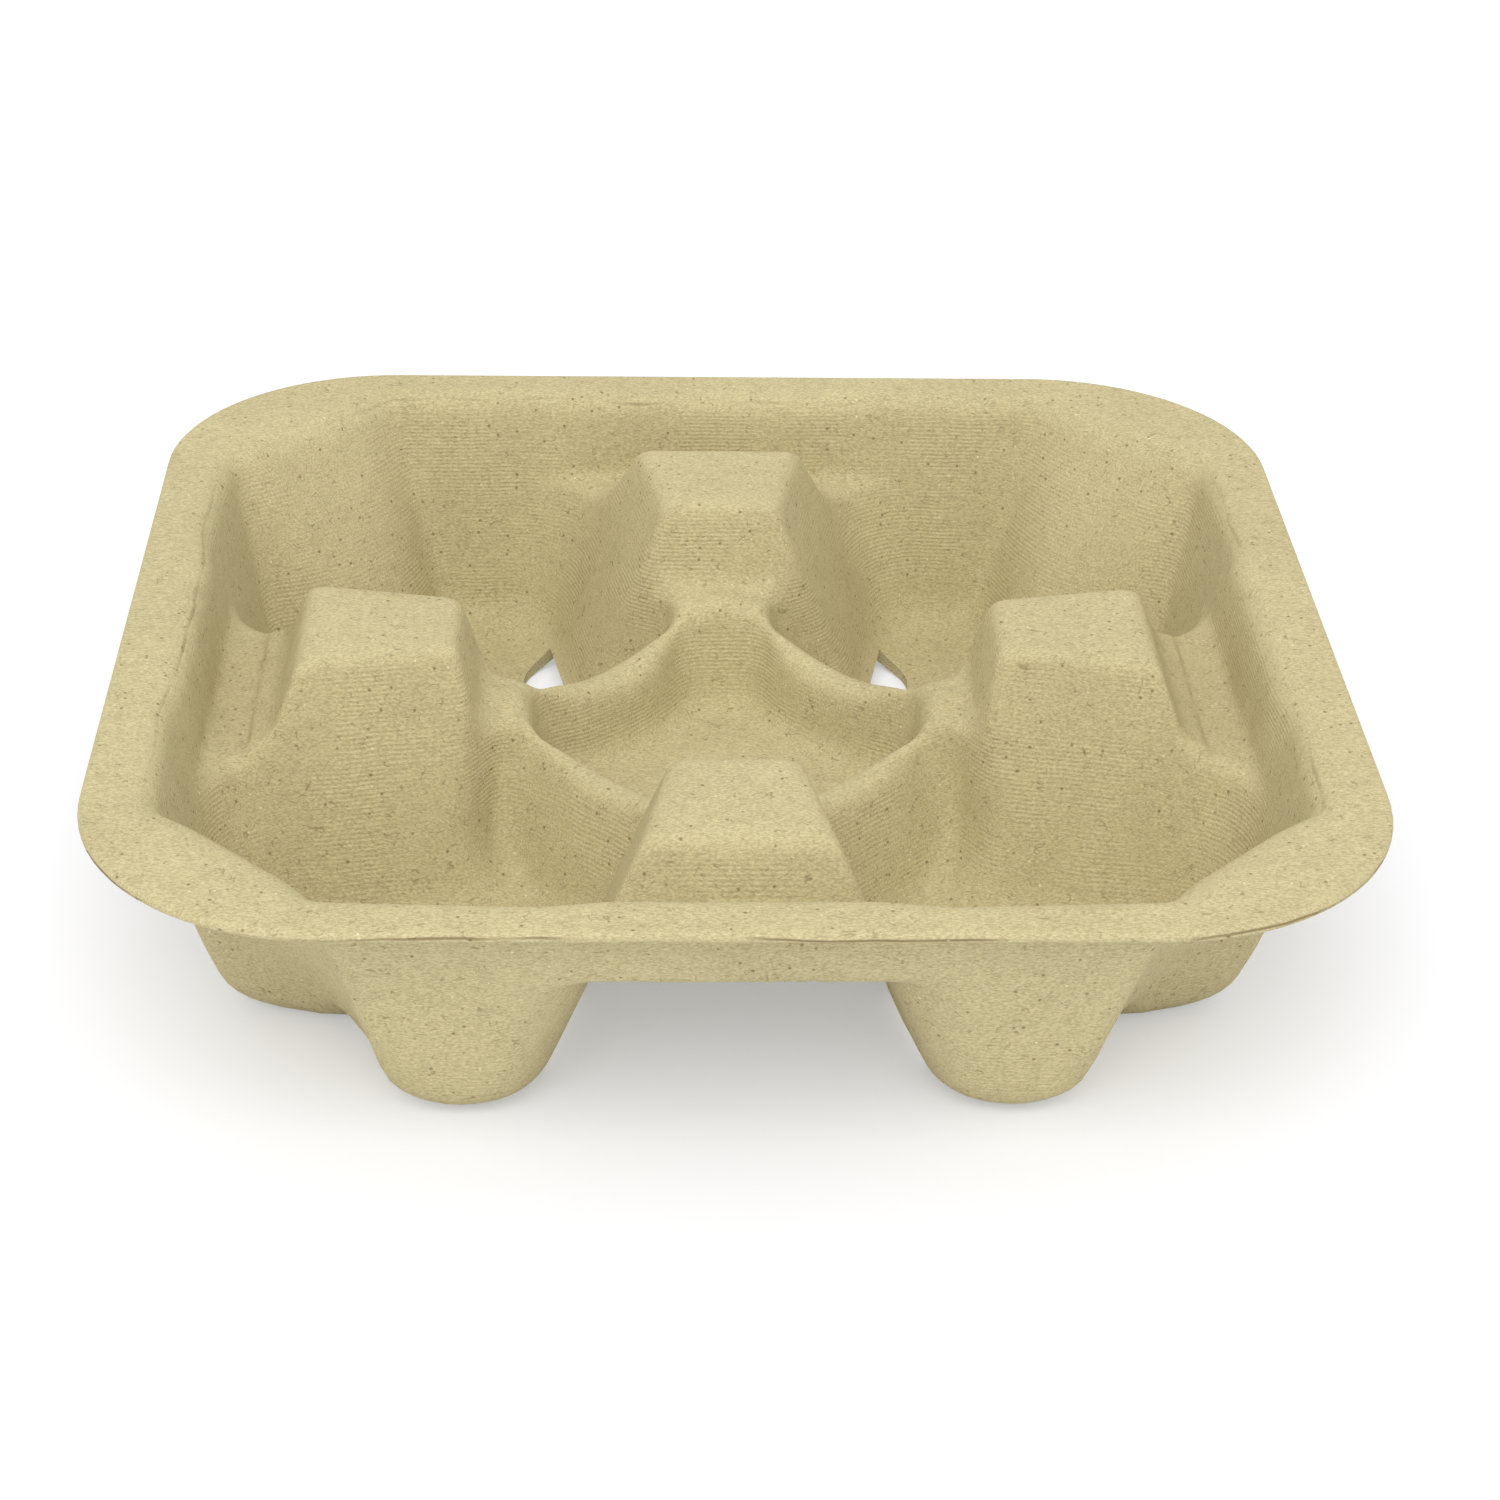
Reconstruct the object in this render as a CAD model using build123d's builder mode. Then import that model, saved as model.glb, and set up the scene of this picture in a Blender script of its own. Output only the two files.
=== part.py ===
from build123d import *
from math import cos, radians, sin, tan
import os

# Whole tray, in millimetres. Its plan is a square, and one quadrant of it repeats four times.
side = 215.0
corner_radius = 42.7
height = 49.0
sheet = 2.0
draft = 10.0
rim_round = 3.0

# Cup pocket: the outer wall, the flanks of the two posts and the face of the ridge
rim_width = 9.7
wall_bow = 2.45
wall_setback = 11.7
flank_at_rim = 19.2
flank_at_floor = 36.3
flank_taper = 10.8
ridge_face_at_rim = 22.7
ridge_face_at_floor = 42.6
outer_corner_round = 14.0
inner_corner_round = 9.0
floor_round = 4.0

# Buttress in a pocket's outer corner: a sloping panel between two cheeks
cheek_turn = 15.6
cheek_inset_at_rim = 34.6
cheek_inset_at_floor = 46.5
panel_inset_at_rim = 26.4
panel_inset_at_floor = 45.4
panel_round = 4.0
crease_round = 3.5

# Posts, the channel outside each post and the platform inside it
post_drop = 1.0
post_lean = 22.0
post_round = 2.5
channel_inset = 12.0
channel_mouth = 19.8
channel_half_length = 42.0
ledge_drop = 16.5
ledge_round = 3.0
step_width = 3.5
step_height = 1.2
step_edge = 0.4
platform_drop = 17.5
platform_reach = 44.3
platform_lean = 15.3
boss_radius = 5.6
boss_height = 1.0
boss_reach = 40.4

# Ridge between a pocket and the well, hollowed like a saddle
ridge_drop = 24.0
ridge_half_span = 19.3
ridge_length = 46.0

# Central well: a square with four round bays
well_level = 11.3
well_half = 32.4
well_bay_centre = 52.4
well_bay_radius = 50.4
well_corner_round = 3.0
well_floor_round = 2.5

# Holes under the foot of each post flank
hole_radius = 11.5
hole_along = 61.3
hole_under_flank = 4.3
hole_rise = 2.5

margin = 3.0

half = side / 2
draft_slope = tan(radians(draft))
bow_slope = tan(radians(wall_bow))
taper_slope = tan(radians(flank_taper))
cheek_slope = tan(radians(cheek_turn))
post_level = height - post_drop
ledge_level = height - ledge_drop
platform_level = height - platform_drop
wall_at_rim = half - rim_width
wall_at_floor = wall_at_rim - wall_setback


def mirrored(plane):
    """The same plane on the other side of the quadrant's diagonal."""
    start, out = plane.origin, plane.z_dir
    return Plane(origin=(start.Y, start.X, start.Z), z_dir=(out.Y, out.X, out.Z))


def wall_plane(across, along, rim_point, floor_point, sunk):
    """A leaning wall through one point at the rim and one at the floor. It faces away from the open
    space, and its level lines run square to (across, along). The underside's wall is parallel to it."""
    travel = across * (rim_point[0] - floor_point[0]) + along * (rim_point[1] - floor_point[1])
    outward = Vector(across, along, -travel / (height - sheet)).normalized()
    return Plane(origin=Vector(rim_point[0], rim_point[1], height) + outward * sunk, z_dir=outward)


def seam(part, first, second):
    """The edges of a part that lie in both of two planes."""
    return [edge for edge in part.edges()
            if all(abs(plane.to_local_coords(edge @ end).Z) < 0.001 for plane in (first, second) for end in (0, 1))]


def foot_shift(sunk, lean):
    """How far out the foot of a leaning wall lies on the underside, where its floor is lower by the sheet."""
    return sunk * (1 - sin(radians(lean))) / cos(radians(lean))


def pocket_air(sunk):
    """The space in one cup pocket: a hopper with a buttress in its outer corner."""
    at_rim, at_floor = (flank_at_rim, wall_at_rim), (flank_at_floor, wall_at_floor)
    wall = wall_plane(bow_slope, 1, at_rim, at_floor, sunk)
    flank = wall_plane(-1, taper_slope, at_rim, at_floor, sunk)
    on_diagonal = [(d * cos(radians(45)), d * cos(radians(45))) for d in (ridge_face_at_rim, ridge_face_at_floor)]
    ridge = wall_plane(-1, -1, *on_diagonal, sunk)
    cheek_points = [(half - inset, half - inset) for inset in (cheek_inset_at_rim, cheek_inset_at_floor)]
    cheek = wall_plane(1, cheek_slope, *cheek_points, sunk)
    panel_points = [(half - inset, half - inset) for inset in (panel_inset_at_rim, panel_inset_at_floor)]
    panel = wall_plane(1, 1, *panel_points, sunk)
    with BuildPart() as buttress:
        with Locations((0, 0, -margin)):
            Box(side, side, height + 4 * margin, align=Align.MIN)
        for plane in (cheek, mirrored(cheek), panel):
            split(bisect_by=plane, keep=Keep.TOP)
    with BuildPart() as air:
        with Locations((0, 0, sheet - sunk)):
            Box(side, side, height + margin - sheet, align=Align.MIN)
        for plane in (wall, mirrored(wall), flank, mirrored(flank), ridge):
            split(bisect_by=plane, keep=Keep.BOTTOM)
        add(buttress.part, mode=Mode.SUBTRACT)
        for first, second, radius in ((wall, flank, outer_corner_round + sunk), (flank, ridge, inner_corner_round + sunk)):
            fillet(seam(air, first, second) + seam(air, mirrored(first), mirrored(second)), radius)
        fillet(air.edges().group_by(Axis.Z)[0], floor_round + sunk)
        for first, second, radius in ((cheek, panel, panel_round - sunk), (wall, cheek, crease_round + sunk)):
            fillet(seam(air, first, second) + seam(air, mirrored(first), mirrored(second)), radius)
    return air.part


def channel_air(sunk):
    """The space outside and above one post: the post's face, a low step, a ledge and the tray's wall."""
    wall = half - channel_inset
    wall_foot = wall - ledge_drop * draft_slope
    post = wall - channel_mouth
    step_level = ledge_level + step_height
    post_foot = post + (post_level - step_level) * tan(radians(post_lean))
    step_out = post_foot + step_width
    top = height + margin
    with BuildPart() as air:
        with BuildSketch(Plane.YZ) as profile:
            with BuildLine():
                Polyline((-1, post_level), (post, post_level), (post_foot, step_level),
                         (step_out, step_level), (step_out + step_edge, ledge_level),
                         (wall_foot, ledge_level), (wall + margin * draft_slope, top), (-1, top), close=True)
            make_face()
            if sunk:
                offset(amount=sunk, kind=Kind.INTERSECTION)
            corners = profile.vertices()
            feet = [corners.sort_by(lambda v: (Vector(v) - Vector(y, z)).length)[0]
                    for y, z in ((post_foot, step_level), (wall_foot, ledge_level))]
            fillet(feet, ledge_round + sunk)
        extrude(amount=channel_half_length + sunk, both=True)
    return air.part


def centre_air(sunk):
    """The space over the middle of the tray, down to the platforms, within the posts' inner faces."""
    reach = platform_reach + foot_shift(sunk, platform_lean)
    with BuildPart() as air:
        with BuildSketch(Plane.XY.offset(platform_level - sunk)):
            Rectangle(2 * reach, 2 * reach)
        extrude(amount=platform_drop + margin, taper=-platform_lean)
    return air.part


def well_air(sunk):
    """The space in the central well, below the platforms."""
    wider = foot_shift(sunk, draft)
    with BuildPart() as air:
        with BuildSketch(Plane.XY.offset(well_level - sunk)) as floor:
            Rectangle(2 * (well_half + wider), 2 * (well_half + wider))
            with GridLocations(2 * well_bay_centre, 2 * well_bay_centre, 2, 2):
                Circle(well_bay_radius - wider, mode=Mode.SUBTRACT)
            fillet(floor.vertices(), well_corner_round + sunk)
        extrude(amount=platform_level - well_level + 1, taper=-draft)
        if not sunk:
            fillet(air.edges().group_by(Axis.Z)[0], well_floor_round)
    return air.part


def saddle_air(sunk):
    """The shallow round hollow over one ridge."""
    level = platform_level - sunk
    span = ridge_half_span + sunk
    across = Plane(origin=(0, 0, 0), x_dir=(-1, 1, 0), z_dir=(1, 1, 0))
    with BuildPart() as air:
        with BuildSketch(across):
            with BuildLine():
                ThreePointArc((-span, level), (0, height - ridge_drop - sunk), (span, level))
                Polyline((span, level), (span, level + margin), (-span, level + margin), (-span, level))
            make_face()
        extrude(amount=ridge_length)
    return air.part


def boss(sunk):
    """The low round boss on one platform: the cap of a ball."""
    with BuildPart() as pad:
        with Locations((boss_reach, 0, platform_level - sunk + boss_height - boss_radius)):
            Sphere(boss_radius, arc_size1=45)
    return pad.part


def form(sunk):
    """The solid under the sheet's upper face, or under its lower face where it is sunk by the sheet.
    The rim, the post tops and the well's floor are rounded on the upper face, and stay crisp below."""
    tools = [channel_air(sunk), pocket_air(sunk), saddle_air(sunk)]
    with BuildPart() as block:
        with BuildSketch(Plane.XY.offset(-margin - sunk)):
            Rectangle(side + 2 * margin, side + 2 * margin)
        extrude(amount=height + margin)
        add(centre_air(sunk), mode=Mode.SUBTRACT)
        add(well_air(sunk), mode=Mode.SUBTRACT)
        with PolarLocations(0, 4):
            for tool in tools:
                add(tool, mode=Mode.SUBTRACT)
        if not sunk:
            fillet(block.faces().sort_by(Axis.Z)[-1].inner_wires()[0].edges(), rim_round)
            post_tops = block.faces().filter_by_position(Axis.Z, post_level - 0.01, post_level + 0.01)
            fillet(post_tops.edges(), post_round)
        with PolarLocations(0, 4):
            add(boss(sunk))
    return block.part


def drain_holes():
    """Two upright holes at each post, cut from below through the floors and the foot of the flanks."""
    across = flank_at_floor - taper_slope * (wall_at_floor - hole_along) - hole_under_flank
    with BuildPart() as holes:
        with BuildSketch(Plane.XY.offset(-margin)):
            with PolarLocations(0, 4):
                with Locations((across, hole_along), (hole_along, across)):
                    Circle(hole_radius)
        extrude(amount=margin + sheet + hole_rise)
    return holes.part


with BuildPart() as cup_tray:
    with BuildSketch():
        RectangleRounded(side, side, corner_radius)
    extrude(amount=height)
    add(form(0), mode=Mode.INTERSECT)
    add(form(sheet), mode=Mode.SUBTRACT)
    add(drain_holes(), mode=Mode.SUBTRACT)

cup_tray.part.label = "cup_tray"
os.makedirs("parts", exist_ok=True)
export_step(cup_tray.part, "parts/cup_tray.step")
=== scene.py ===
import bmesh
import bpy
import numpy as np
from mathutils import Matrix, Vector
from math import cos, radians, tan


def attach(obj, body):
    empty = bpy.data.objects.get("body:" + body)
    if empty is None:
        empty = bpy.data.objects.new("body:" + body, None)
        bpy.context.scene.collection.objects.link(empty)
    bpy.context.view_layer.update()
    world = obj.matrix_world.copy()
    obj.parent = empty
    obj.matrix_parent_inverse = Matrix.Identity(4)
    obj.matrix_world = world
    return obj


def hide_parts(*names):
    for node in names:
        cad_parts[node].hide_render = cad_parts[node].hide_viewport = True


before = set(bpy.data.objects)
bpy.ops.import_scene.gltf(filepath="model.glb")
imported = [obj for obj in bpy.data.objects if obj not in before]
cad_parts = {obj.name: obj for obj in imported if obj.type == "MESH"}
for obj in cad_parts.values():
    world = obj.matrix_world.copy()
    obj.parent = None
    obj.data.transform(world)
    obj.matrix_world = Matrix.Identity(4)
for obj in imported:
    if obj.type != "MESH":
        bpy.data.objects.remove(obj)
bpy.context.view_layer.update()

# A carrier for four cups: one sheet of moulded wood pulp, two millimetres thick, unbleached and dried on its mould.
# The sheet was drawn onto a wire screen, so every edge is soft, walls lean, and the weave shows on steep faces.
# The upper face is where a field of blended wall planes is zero, and the lower face is one sheet deeper.
side, height, sheet, corner_radius = 215.0, 49.0, 2.0, 42.7
half = side / 2
draft = radians(10)
platform_drop = 17.5


def blend(a, b, soft):
    """The larger of two fields with their meeting line rounded: max(a, b) plus a parabola where they differ by
    less than soft."""
    return np.maximum(a, b) + np.maximum(soft - np.abs(a - b), 0.0) ** 2 / (4 * soft)


def meet(a, b, soft):
    """The smaller of two fields, rounded in the same way."""
    return -blend(-a, -b, soft)


def ramp(z, at_rim, at_floor):
    """A size that runs evenly from the rim down to the pocket floor."""
    return at_rim + (at_floor - at_rim) * (height - z) / (height - sheet)


def wall(x, y, z, across, along, at_rim, at_floor):
    """Distance beyond a leaning wall, whose plan line is across * x + along * y = ramp(at_rim, at_floor)."""
    lean = (at_rim - at_floor) / (height - sheet)
    return (across * x + along * y - ramp(z, at_rim, at_floor)) / np.sqrt(across**2 + along**2 + lean**2)


def pocket(x, y, z):
    """The space in one cup pocket: two walls, two post flanks and the ridge, less the buttress in the outer corner.
    The inner end of a post is round below its flat flank, and stands out from the side of its platform."""
    post_middle, pillar_rise, foot_fade = 64.0, 23.0, 9
    down = (height - z) / (height - sheet)

    def lobe(x, y):
        """The space beside one post, within the outer wall. The pillar is a cone with an oval plan, which the
        side of the platform cuts, and it fades out near the floor."""
        outer = wall(x, y, z, across=0.0427, along=1, at_rim=98.62, at_floor=87.6)
        flank = wall(x, y, z, across=-1, along=0.19, at_rim=-0.618, at_floor=-19.9)
        thick, long = ramp(z, at_rim=21.5, at_floor=32.7), ramp(z, at_rim=21.8, at_floor=25.0)
        pillar = (1 - np.sqrt((x / thick) ** 2 + ((y - post_middle) / long) ** 2)) * pillar_rise
        platform_side = wall(x, y, z, across=-1, along=0.494, at_rim=13.15, at_floor=6.3)
        shoulder = blend(pillar, platform_side, soft=1.5) + foot_fade * down**8
        inner = meet(flank, shoulder, soft=ramp(z, at_rim=1.0, at_floor=2.5))
        return blend(outer, inner, soft=1.2 * ramp(z, at_rim=14, at_floor=9))

    ridge = wall(x, y, z, across=-1, along=-1, at_rim=-32.15, at_floor=-60.2)
    hopper = blend(blend(lobe(x, y), lobe(y, x), soft=0.8), ridge, soft=5.0)
    cheeks = [wall(x, y, z, across, along, at_rim=93.15, at_floor=77.95)
              for across, along in ((1, 0.2783), (0.2783, 1))]
    panel = wall(x, y, z, across=1, along=1, at_rim=162.28, at_floor=123.1)
    buttress = meet(meet(*cheeks, soft=6.0), panel, soft=5.0)
    crease = 2.2 + 8 * ((height - z) / height) ** 5
    return blend(blend(hopper, buttress, soft=crease), sheet - z, soft=7.0)


def channel(x, y, z):
    """The space outside one post: the post's leaning face, a low step, a ledge and the tray's wall, which flares
    at the channel's ends. A leaning face's height is divided by its slant, the length of face in a unit of height."""
    post_drop, post_edge, post_lean, post_slant = 1, 75.7, 0.4056, 1.079
    step_drop, step_edge, ledge_drop = 15.3, 85.2, 16.5
    wall_at_rim, half_length = 95.5, 42.0
    flare_start, flare_run, flare_depth = 28, 14, 2.5
    deep = height - z
    face = (post_edge + (deep - post_drop) * post_lean - y) / post_slant
    step = meet(deep - step_drop, blend(deep - ledge_drop, step_edge - y, soft=0.8), soft=1.6)
    over = meet(deep - post_drop, blend(face, step, soft=4.0), soft=3.0)
    flare = np.maximum((x - flare_start) / flare_run, 0) ** 2 * flare_depth
    outer = (y - wall_at_rim + deep * tan(draft)) * cos(draft) + flare
    return blend(blend(over, outer, soft=2.6), x - half_length, soft=0.5)


def centre(x, y, z):
    """The space over the tray's middle, with an oval boss on each platform and a saddle over each ridge.
    A boss is a bell curve with a flat top, and a saddle is an arc across the diagonal."""
    platform_edge, post_lean, post_slant = 44.3, 0.2727, 1.0365
    boss_middle, boss_along, boss_across = 40.0, 4.2, 3.7
    saddle_radius, saddle_middle, saddle_reach, saddle_slant = 31.9, 25.4, 30.0, 0.92
    deep = height - z
    lean = (platform_drop - deep) * post_lean
    faces = blend(y - platform_edge - lean, x - platform_edge - lean, soft=2.0) / post_slant
    boss = sum(np.exp(-(((u - boss_middle) / boss_along) ** 2 + (v / boss_across) ** 2) ** 2)
               for u, v in ((y, x), (x, y)))
    across = np.minimum(np.abs(x - y) * np.sqrt(0.5), saddle_reach)
    saddle = blend(np.sqrt(saddle_radius**2 - across**2) - saddle_middle, 0.0, soft=1.2)
    return blend(faces, (deep - platform_drop + boss - saddle) * saddle_slant, soft=3.0)


def well(x, y, z):
    """The space in the central well: a square with four round bays."""
    well_half, well_depth = 36.0, 20.2
    bay_middle, bay_radius = 52.4, 46.8
    deep = height - z - platform_drop
    flats = blend(x, y, soft=3.0) - well_half + deep * tan(draft)
    bay = bay_radius + deep * tan(draft) - np.hypot(x - bay_middle, y - bay_middle)
    return blend(blend(flats, bay, soft=4.0) * cos(draft), deep - well_depth, soft=5.0)


def form(x, y, z):
    """Below zero inside the solid under the tray's upper face."""
    x, y = np.abs(x), np.abs(y)
    air = meet(centre(x, y, z), well(x, y, z), soft=3.5)
    air = meet(meet(air, channel(x, y, z), soft=2.4), channel(y, x, z), soft=2.4)
    return blend(z - height, -meet(air, pocket(x, y, z), soft=2.4), soft=4.6)


def level(x, y, depth):
    """Height of the face that lies depth under the upper face, found by halving the height's range."""
    lowest, highest, halvings = -3.0, height + 0.5, 25
    low, high = np.full(np.shape(x), lowest), np.full(np.shape(x), highest)
    for _ in range(halvings):
        middle = (low + high) / 2
        inside = form(x, y, middle) + depth < 0
        low, high = np.where(inside, middle, low), np.where(inside, high, middle)
    return (low + high) / 2


def spread(run, rise, count, turning):
    """Places along a profile, evenly spaced in its length plus turning millimetres for each radian it turns."""
    step, climb = np.diff(run), np.diff(rise)
    turns = np.abs(np.diff(np.arctan2(climb, step)))
    bends = np.convolve(np.append(turns, 0) + np.append(0, turns), np.ones(5) / 10, "same")
    pace = np.hypot(step, climb) + turning * bends
    walked = np.append(0, np.cumsum(pace))
    return np.interp(np.linspace(0, walked[-1], count), walked, run)


edge_round = 0.8
pocket_middle, disc = 57.0, 14.0
rays, upper_steps, lower_steps, fine_steps = 111, 78, 24, 340
line_rays, line_steps = 82, 2000

# Half of a quadrant's border: the line from the tray's middle out to the rim, then the outline as far as the
# diagonal. The other half is its mirror image.
line = np.linspace(0, half - edge_round, line_steps)
on_line = spread(line, level(0 * line, line, depth=0.0), line_rays, turning=9.0)
straight, bend_radius = half - corner_radius, corner_radius - edge_round
arc = np.linspace(0, straight + bend_radius * np.pi / 4, rays - line_rays + 1)[1:]
angle = np.maximum(arc - straight, 0) / bend_radius
outline = np.stack([np.minimum(arc, straight) + bend_radius * np.sin(angle),
                    straight + bend_radius * np.cos(angle)], 1)
border = np.concatenate([np.stack([0 * on_line, on_line], 1), outline])
border = np.concatenate([border, border[-2:0:-1, ::-1]])
border = np.concatenate([border, [border[0]]])
rim = slice(line_rays - 1, len(border) - line_rays + 1)
outward = border[rim] - np.minimum(border[rim], straight)
outward /= np.linalg.norm(outward, axis=1)[:, None]

reach = np.linalg.norm(border - pocket_middle, axis=1)
toward = (border - pocket_middle) / reach[:, None]


def face(depth, count):
    """One face of a quadrant: for each ray from the pocket's middle, the points of its profile."""
    run = disc + (reach - disc)[:, None] * np.linspace(0, 1, fine_steps)
    rise = level(pocket_middle + toward[:, :1] * run, pocket_middle + toward[:, 1:] * run, depth)
    run = np.array([spread(a, b, count, turning=7.0) for a, b in zip(run, rise)])
    x, y = pocket_middle + toward[:, :1] * run, pocket_middle + toward[:, 1:] * run
    return np.stack([x, y, level(x, y, depth)], 2)


upper, lower = face(0.0, upper_steps), face(sheet, lower_steps)

# The rim's edge: a strip from the upper face round to the lower one, with half of its turns at each of them.
# It bulges by the edge's rounding.
around = np.radians([30, 60, 90, 90, 120, 150])
turns = len(around)
bulge = edge_round * np.sin(around)
drop = np.where(np.arange(turns) < turns / 2,
                edge_round * (1 - np.cos(around)), sheet - edge_round * (1 + np.cos(around)))
edge = np.stack([border[rim, 0, None] + outward[:, :1] * bulge, border[rim, 1, None] + outward[:, 1:] * bulge,
                 np.broadcast_to(height - drop, (len(outward), turns))], 2)
edge = np.concatenate([upper[rim, -1:], edge, lower[rim, -1:]], 1)


def strips(grid, start, flip):
    """Four-sided faces between the neighbouring rows of a grid of points."""
    index = start + np.arange(grid.shape[0] * grid.shape[1]).reshape(grid.shape[:2])
    quads = np.stack([index[:-1, :-1], index[1:, :-1], index[1:, 1:], index[:-1, 1:]], 2).reshape(-1, 4)
    return quads[:, ::-1] if flip else quads


points, quads, fans, count = [], [], [], 0
for grid, flip in ((upper, False), (lower, True), (edge, False)):
    quads.append(strips(grid, count, flip))
    if grid is not edge:
        first = count + np.arange(len(grid)) * grid.shape[1]
        hub = count + grid.shape[0] * grid.shape[1]
        fan = np.stack([np.full(len(first) - 1, hub), first[1:], first[:-1]], 1)
        fans.append(fan[:, ::-1] if flip else fan)
        grid = np.concatenate([grid.reshape(-1, 3), [[pocket_middle, pocket_middle, grid[0, 0, 2]]]])
    points.append(grid.reshape(-1, 3))
    count += len(points[-1])
quarter, quads, fans = np.concatenate(points), np.concatenate(quads), np.concatenate(fans)
points, faces = [], []
for turn in range(4):
    points.append(quarter @ np.array(Matrix.Rotation(-radians(90) * turn, 3, "Z")))
    faces += (quads + turn * count).tolist() + (fans + turn * count).tolist()
millimetres_in_metre, weld = 1000, 2e-6
mesh = bpy.data.meshes.new("tray")
mesh.from_pydata(np.concatenate(points) / millimetres_in_metre, [], faces)
welded = bmesh.new()
welded.from_mesh(mesh)
bmesh.ops.remove_doubles(welded, verts=welded.verts, dist=weld)
welded.to_mesh(mesh)
welded.free()
tray = bpy.data.objects.new("tray", mesh)
bpy.context.scene.collection.objects.link(tray)

# Two drain holes beside each post, at the foot of its flanks, eight in all.
# They are cut straight through the sheet, so their walls are upright and their edges sharp.
hole_places, hole_radius = ((0.0272, 0.0613), (0.0613, 0.0272)), 0.0115
punch_middle, punch_length, punch_sides = 0.00075, 0.0075, 96
drills = bmesh.new()
for turn in range(4):
    for along, beside in hole_places:
        spot = Matrix.Rotation(radians(90) * turn, 4, "Z") @ Matrix.Translation((along, beside, punch_middle))
        bmesh.ops.create_cone(drills, cap_ends=True, segments=punch_sides, radius1=hole_radius, radius2=hole_radius,
                              depth=punch_length, matrix=spot)
punch = bpy.data.objects.new("punch", bpy.data.meshes.new("punch"))
drills.to_mesh(punch.data)
drills.free()
bpy.context.scene.collection.objects.link(punch)
cut = tray.modifiers.new("holes", "BOOLEAN")
cut.object, cut.operation, cut.solver = punch, "DIFFERENCE", "EXACT"
solid = bpy.data.meshes.new_from_object(tray.evaluated_get(bpy.context.evaluated_depsgraph_get()))
tray.modifiers.clear()
bpy.data.objects.remove(punch)
tray.data = solid
sharp_edge = radians(50)
solid.shade_smooth()
solid.set_sharp_from_angle(angle=sharp_edge)


class Signal:
    """One output of a shader node. Arithmetic on signals adds the Math nodes for it."""

    def __init__(self, socket):
        self.socket = socket

    def add(self, kind, inputs, output=0, **settings):
        """Adds a node of one kind, feeds its inputs and returns one of its outputs."""
        tree = self.socket.id_data
        node = tree.nodes.new("ShaderNode" + kind)
        for name, value in settings.items():
            setattr(node, name, value)
        for name, value in inputs.items():
            if isinstance(value, Signal):
                tree.links.new(value.socket, node.inputs[name])
            else:
                node.inputs[name].default_value = value
        return Signal(node.outputs[output])

    def math(self, operation, *others):
        """One Math node, of this signal and other signals or numbers."""
        return self.add("Math", dict(enumerate((self, *others))), operation=operation)

    def __add__(self, other):
        return self.math("ADD", other)

    def __sub__(self, other):
        return self.math("SUBTRACT", other)

    def __mul__(self, other):
        return self.math("MULTIPLY", other)

    def __rsub__(self, other):
        return self.add("Math", {0: other, 1: self}, operation="SUBTRACT")

    __radd__, __rmul__ = __add__, __mul__

    def over(self, low, high):
        """0 below low and 1 above high, with a smooth rise between."""
        return self.add("MapRange", {0: self, 1: low, 2: high}, interpolation_type="SMOOTHSTEP")

    def noise(self, scale, detail=2.0, rough=0.5, stretch=(1, 1, 1)):
        """Noise over this place, from 0 to 1. Scale counts blotches in a metre."""
        place = self.add("Mapping", {"Vector": self, "Scale": stretch})
        return place.add("TexNoise", {"Vector": place, "Scale": scale, "Detail": detail, "Roughness": rough})

    def tint(self, colour, amount):
        """This colour turned towards another one by an amount."""
        return self.add("Mix", {0: amount, 6: self, 7: colour}, output=2, data_type="RGBA")


# Pulp: matt straw-coloured fibre, felted from water, with darker and paler shreds and specks in it.
# Leaning faces show the screen's fine weave, and the layers at the rim's edge part in a thin line, darkened with
# painted shade of the crack.
deep_straw, light_straw = (0.27, 0.226, 0.113, 1), (0.73, 0.642, 0.370, 1)
# The dark fibre colour is the shreds' and specks' own, and also the painted shade inside the crack near the rim.
dark_fibre_and_crack_shade, pale_fibre = (0.22, 0.165, 0.075, 1), (0.85, 0.79, 0.56, 1)
wire_pitch, wire_sway = 0.00078, 9.0
split_level, split_wander = 0.0489, 0.0022
pulp = bpy.data.materials.new("pulp")
pulp.use_nodes = True
nodes = pulp.node_tree.nodes
shader = nodes["Principled BSDF"]
place = Signal(nodes.new("ShaderNodeTexCoord").outputs["Object"])
facing = Signal(nodes.new("ShaderNodeNewGeometry").outputs["Normal"])
upright = facing.add("SeparateXYZ", {0: facing}, output=2).math("ABSOLUTE")
level_now = place.add("SeparateXYZ", {0: place}, output=2)
cloud = place.noise(45, detail=3)
mottle = place.noise(420, detail=3, rough=0.6)
grain = place.noise(3600, detail=2, rough=0.75, stretch=(0.4, 1, 1))
shreds = place.noise(900, detail=0, rough=0.4, stretch=(0.6, 0.8, 1)).math("SUBTRACT", 0.5).math("ABSOLUTE")
shreds = (1 - shreds.over(0.0, 0.045)) * place.noise(500, detail=1).over(0.56, 0.66)
specks = {"Vector": place, "Scale": 520.0, "Randomness": 1.0}
cells = place.add("TexVoronoi", specks)
kind = place.add("TexVoronoi", specks, output=1)
kind = kind.add("SeparateColor", {0: kind})
dark = (1 - cells.over(0.09, 0.22)) * kind.over(0.66, 0.8)
pale = (1 - cells.over(0.06, 0.14)) * (1 - kind.over(0.1, 0.2))
weave = (level_now * (2 * np.pi / wire_pitch) + place.noise(90, detail=2) * wire_sway).math("SINE") * 0.5 + 0.5
weave = weave * (1 - upright.over(0.35, 0.75)) * place.noise(70, detail=2).over(0.38, 0.6)
tone = cloud * 0.20 + mottle * 0.22 + grain.over(0.32, 0.68) * 0.40 + weave * 0.05 + 0.06
straw = place.add("Mix", {0: tone, 6: deep_straw, 7: light_straw}, output=2, data_type="RGBA")
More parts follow.
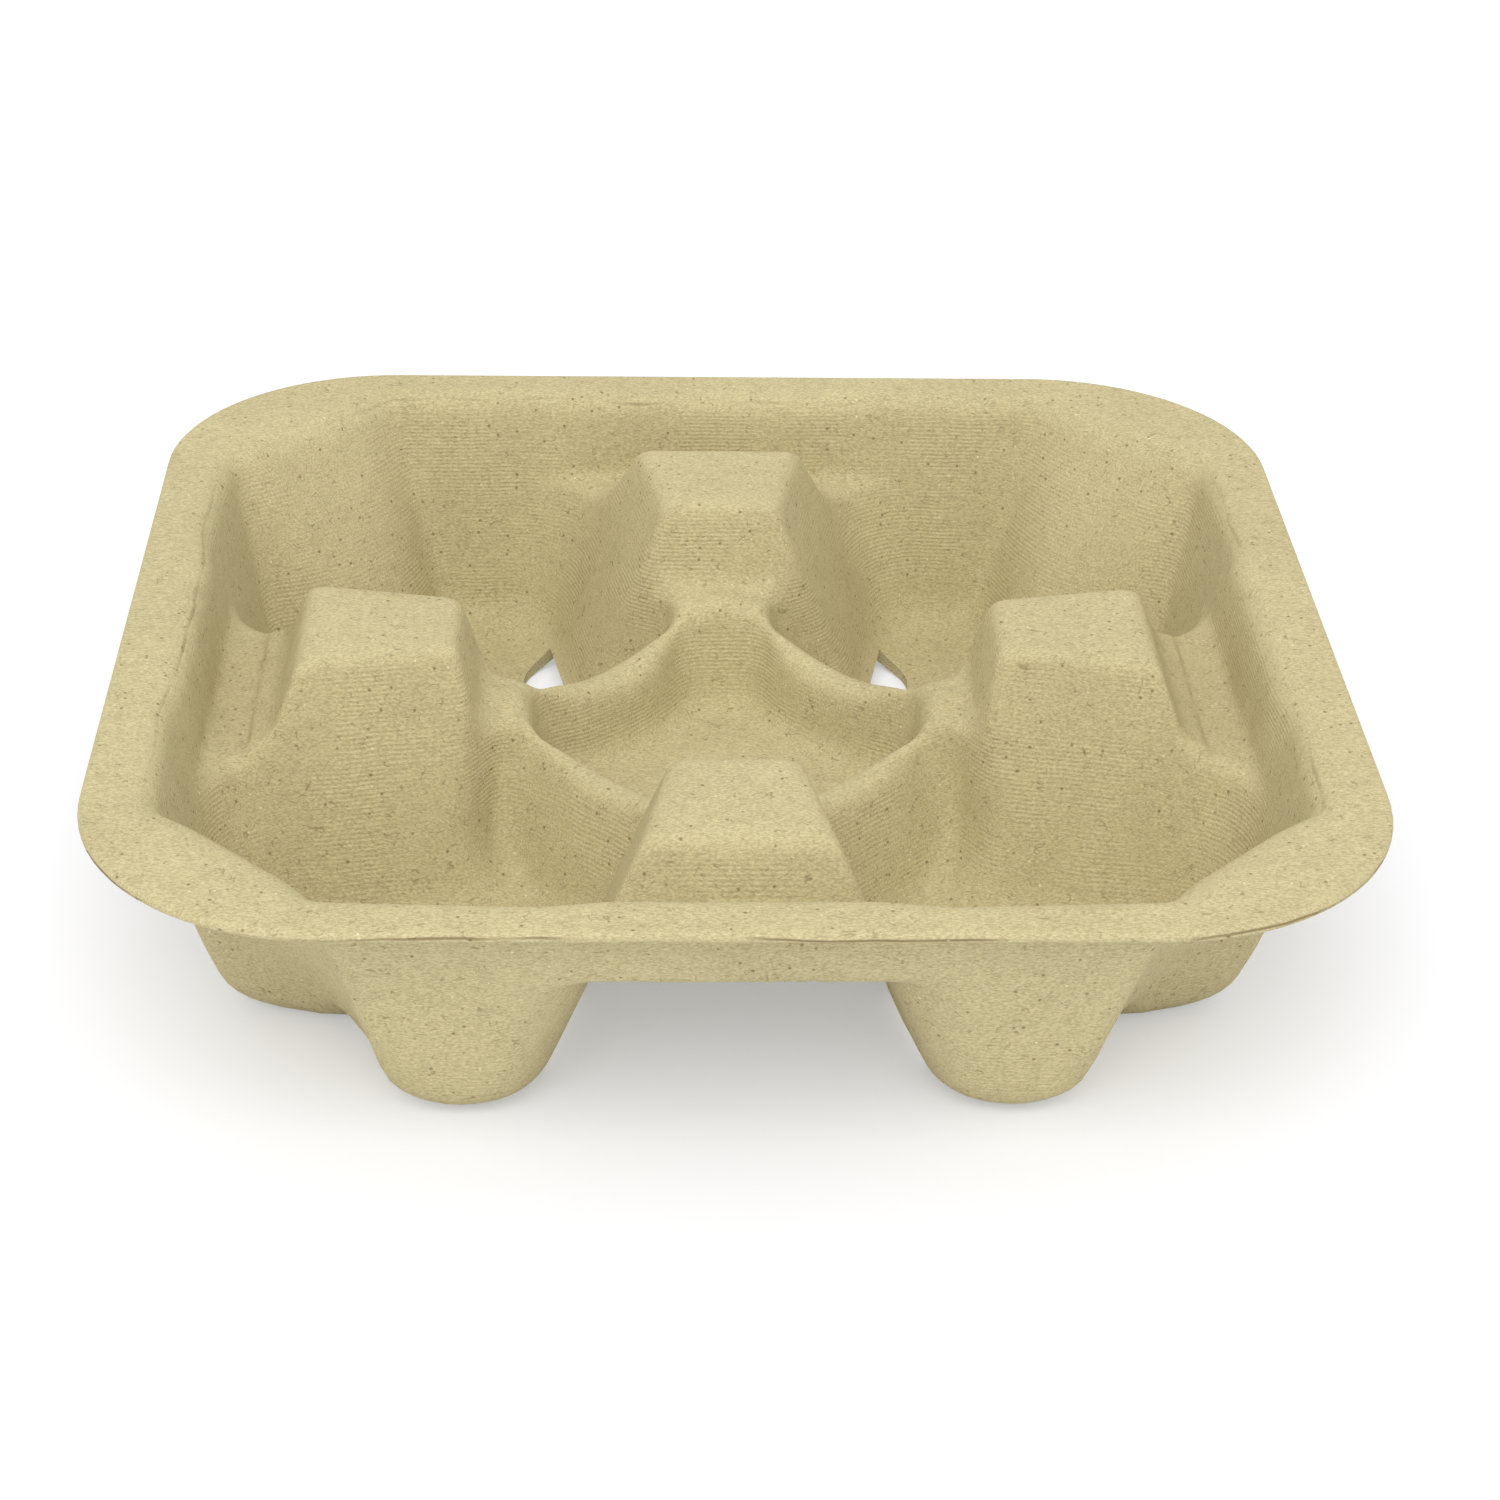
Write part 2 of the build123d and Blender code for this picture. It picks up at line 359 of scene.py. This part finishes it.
# The crack near the rim's edge: the bump dents it, and the dark tint along it is painted shade.
layer = (level_now + place.noise(60, detail=2) * split_wander - split_level).math("ABSOLUTE")
crack_with_painted_shade = (1 - layer.over(0.00006, 0.00038)) * place.noise(26, detail=3).over(0.42, 0.56)
crack_with_painted_shade = crack_with_painted_shade * (1 - upright.over(0.55, 0.92)) * level_now.over(0.0455, 0.0465)
# Shreds and specks take the dark fibre's own colour; the crack takes it as painted shade.
straw = straw.tint(dark_fibre_and_crack_shade, shreds * 0.6 + dark * 0.85 + crack_with_painted_shade * 0.9).tint(pale_fibre, pale * 0.6)
relief = grain * 0.45 + mottle * 0.8 + weave * 0.35 - shreds * 0.2 - crack_with_painted_shade * 1.2
bump = place.add("Bump", {"Height": relief, "Strength": 0.5, "Distance": 0.00035})
pulp.node_tree.links.new(straw.socket, shader.inputs["Base Color"])
pulp.node_tree.links.new(bump.socket, shader.inputs["Normal"])
shader.inputs["Roughness"].default_value = 0.9
shader.inputs["Specular IOR Level"].default_value = 0.15
solid.materials.clear()
solid.materials.append(pulp)
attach(tray, "root")
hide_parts("cup_tray")

# Studio: a plain pale floor, an even white surround and one wide lamp, high in front of the tray and a little left.
# Camera, mirrored and passing rays see the floor partly as plain white, so that it ends without a line.
# The rest of it is a matt paint, which keeps the tray's shadow.
floor_size, floor_drop, plain_white = 12, 0.0001, 0.35
bpy.ops.mesh.primitive_plane_add(size=floor_size, location=(0, 0, -floor_drop))
floor = bpy.context.object
white = bpy.data.materials.new("floor")
white.use_nodes = True
tree = white.node_tree
paint = tree.nodes["Principled BSDF"]
paint.inputs["Base Color"].default_value = (0.90, 0.91, 0.95, 1)
paint.inputs["Roughness"].default_value = 1.0
paint.inputs["Specular IOR Level"].default_value = 0.0
path = tree.nodes.new("ShaderNodeLightPath")
camera_ray, mirrored_ray, passing_ray = (Signal(path.outputs[f"Is {ray} Ray"])
                                         for ray in ("Camera", "Glossy", "Transmission"))
seen = camera_ray + mirrored_ray + passing_ray
glow = tree.nodes.new("ShaderNodeEmission")
glow.inputs["Strength"].default_value = 1.0
surface = seen.add("MixShader", {0: seen * plain_white, 1: Signal(paint.outputs[0]), 2: Signal(glow.outputs[0])})
tree.links.new(surface.socket, tree.nodes["Material Output"].inputs["Surface"])
floor.data.materials.append(white)

world = bpy.data.worlds.new("surround")
bpy.context.scene.world = world
world.use_nodes = True
surround = world.node_tree.nodes["Background"]
surround.inputs["Color"].default_value = (1, 1, 1, 1)
surround.inputs["Strength"].default_value = 1.0

lamp_place = Vector((-0.15, -1.05, 1.4))
lamp = bpy.data.objects.new("lamp", bpy.data.lights.new("lamp", "AREA"))
lamp.data.size, lamp.data.energy = 1.2, 14.5
lamp.matrix_world = Matrix.LocRotScale(lamp_place, lamp_place.to_track_quat("Z", "Y"), None)
bpy.context.scene.collection.objects.link(lamp)

# Camera: where the tray's outline, posts and feet fall as they do in the photograph.
# It looks down on the tray from in front, a little from the left, with a long lens.
pitch, yaw, roll = radians(29.374), radians(2.525), radians(-1.372)
camera_place = Vector((-0.0203, -0.5625, 0.3377))
aim = (Matrix.Rotation(-yaw, 3, "Z") @ Matrix.Rotation(radians(90) - pitch, 3, "X")
       @ Matrix.Rotation(-roll, 3, "Z"))
camera = bpy.data.objects.new("camera", bpy.data.cameras.new("camera"))
camera.data.lens, camera.data.sensor_width = 84.24, 36.0
camera.matrix_world = Matrix.LocRotScale(camera_place, aim, None)
bpy.context.scene.collection.objects.link(camera)
bpy.context.scene.camera = camera
bpy.context.scene.view_settings.view_transform = "Standard"
